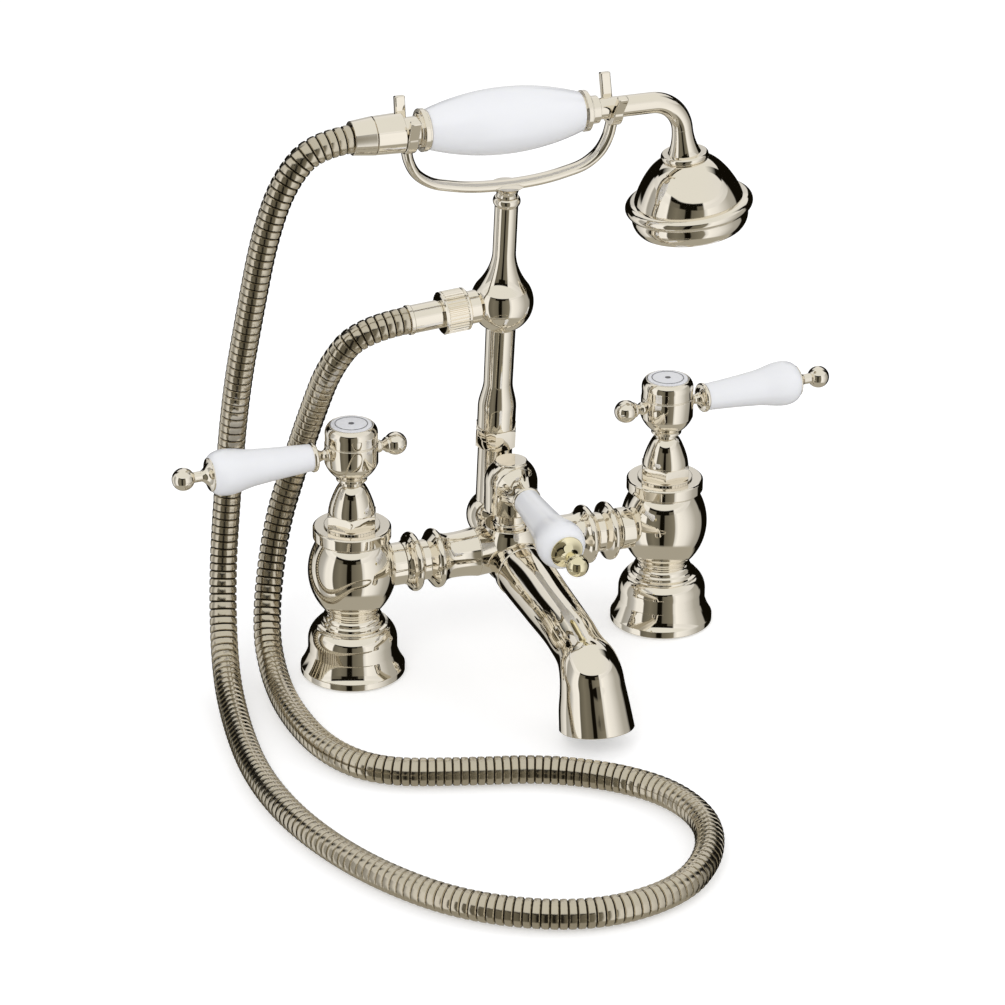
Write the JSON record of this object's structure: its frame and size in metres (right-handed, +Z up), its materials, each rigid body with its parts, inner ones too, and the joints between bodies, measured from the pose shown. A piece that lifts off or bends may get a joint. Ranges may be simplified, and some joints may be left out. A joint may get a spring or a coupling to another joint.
{
  "type": "bath shower mixer",
  "caption": "Deck mounted bath filler in polished nickel with porcelain levers, a diverter, a curved spout, and a hand shower resting in a forked cradle on a column with its metal hose.",
  "frame": {"origin": "on the bath deck, midway between the two inlet sockets", "axes": "+X from the hot inlet to the cold inlet, -Y along the spout towards the bath, +Z up"},
  "size_m": [0.3783, 0.3451, 0.3154],
  "materials": {
    "nickel": "polished nickel plate, warm and mirror bright",
    "porcelain": "glossy white porcelain",
    "index_enamel": "glossy white enamel disc",
    "valve_brass": "plain machined brass",
    "disc_ceramic": "ground alumina",
    "seal_rubber": "black rubber",
    "washer_fibre": "dark fibre-filled rubber",
    "mesh_plastic": "pale grey plastic",
    "screw_steel": "stainless steel",
    "hose_metal": "polished nickel plated metal hose"
  },
  "bodies": {
    "mixer": {"hot_base": "nickel", "hot_pillar": "nickel", "hot_arm": "nickel", "hot_valve": "valve_brass", "hot_bonnet": "nickel", "cold_base": "nickel", "cold_pillar": "nickel", "cold_arm": "nickel", "cold_valve": "valve_brass", "cold_bonnet": "nickel", "fixed_discs": "disc_ceramic", "seals": "seal_rubber", "washers": "washer_fibre", "cross_body": "nickel", "spout": "nickel", "flow_straightener": "mesh_plastic", "diverter_valve": "valve_brass", "diverter_bonnet": "nickel", "riser": "nickel", "union_nut": "nickel", "column": "nickel", "knurled_nut": "nickel", "hose_tail": "nickel", "hose": "hose_metal"},
    "hot_lever": {"hot_head": "nickel", "hot_screw": "screw_steel", "hot_index": "index_enamel", "hot_finial": "nickel", "hot_stem": "nickel", "hot_grip": "porcelain", "hot_tip": "nickel", "hot_spindle": "valve_brass", "hot_moving_disc": "disc_ceramic"},
    "cold_lever": {"cold_head": "nickel", "cold_screw": "screw_steel", "cold_index": "index_enamel", "cold_finial": "nickel", "cold_stem": "nickel", "cold_grip": "porcelain", "cold_tip": "nickel", "cold_spindle": "valve_brass", "cold_moving_disc": "disc_ceramic"},
    "diverter_lever": {"diverter_head": "nickel", "diverter_button": "nickel", "diverter_stem": "nickel", "diverter_grip": "porcelain", "diverter_tip": "nickel", "diverter_spindle": "valve_brass", "diverter_moving_disc": "disc_ceramic"},
    "yoke": {"cradle": "nickel"},
    "handset": {"handset_inlet": "nickel", "grip_collar": "nickel", "handset_grip": "porcelain", "arm_union": "nickel", "shower_arm": "nickel", "rose_ring": "nickel", "rose_dome": "nickel", "rose_rim": "nickel", "rose_face": "nickel", "hose_nut": "nickel"}
  },
  "joints": [
    {"name": "hot_turn", "type": "hinge", "parent": "mixer", "child": "hot_lever", "pos_m": [-0.09, 0, 0.1285], "axis": [0, 0, 1], "range_deg": [0, 90]},
    {"name": "cold_turn", "type": "hinge", "parent": "mixer", "child": "cold_lever", "pos_m": [0.09, 0, 0.1285], "axis": [0, 0, 1], "range_deg": [-90, 0]},
    {"name": "diverter_turn", "type": "hinge", "parent": "mixer", "child": "diverter_lever", "pos_m": [0, 0, 0.097], "axis": [0, 0, 1], "range_deg": [-45, 45]},
    {"name": "yoke_swivel", "type": "hinge", "parent": "mixer", "child": "yoke", "pos_m": [0, 0.0272, 0.066], "axis": [0, -0.0889, 0.996], "range_deg": [-30, 30], "deforming": ["hose"]},
    {"name": "handset_lift", "type": "slide", "parent": "yoke", "child": "handset", "axis": [0, -0.0889, 0.996], "range_m": [0, 0.12], "deforming": ["hose"]}
  ]
}
